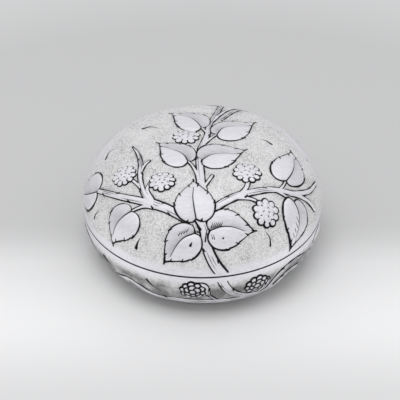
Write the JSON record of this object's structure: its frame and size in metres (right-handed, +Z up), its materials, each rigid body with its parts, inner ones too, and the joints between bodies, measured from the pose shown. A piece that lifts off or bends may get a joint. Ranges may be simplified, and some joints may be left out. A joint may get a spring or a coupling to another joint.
{
  "type": "round lidded silver box",
  "caption": "Low round sheet-silver box, widest at its seam, with a domed lift-off lid chased with bramble sprays and an inner bezel that guides the lid.",
  "frame": {"origin": "centre of the flat underside that the box stands on", "axes": "+Z up along the axis of the round box, -Y towards the side that faces the viewer in the picture"},
  "size_m": [0.12, 0.12, 0.064],
  "materials": {
    "chased_silver": "soft satin silver, punched ground darkened, raised leaves and berries burnished",
    "plain_silver": "bright silver, finely brushed by use"
  },
  "bodies": {
    "base": {"base_bowl": "chased_silver", "base_seat_ring": "plain_silver", "bezel": "plain_silver"},
    "lid": {"lid_dome": "chased_silver", "lid_seat_ring": "plain_silver"}
  },
  "joints": [
    {"name": "lid_lift", "type": "slide", "parent": "base", "child": "lid", "axis": [0, 0, 1], "range_m": [0, 0.06]}
  ]
}
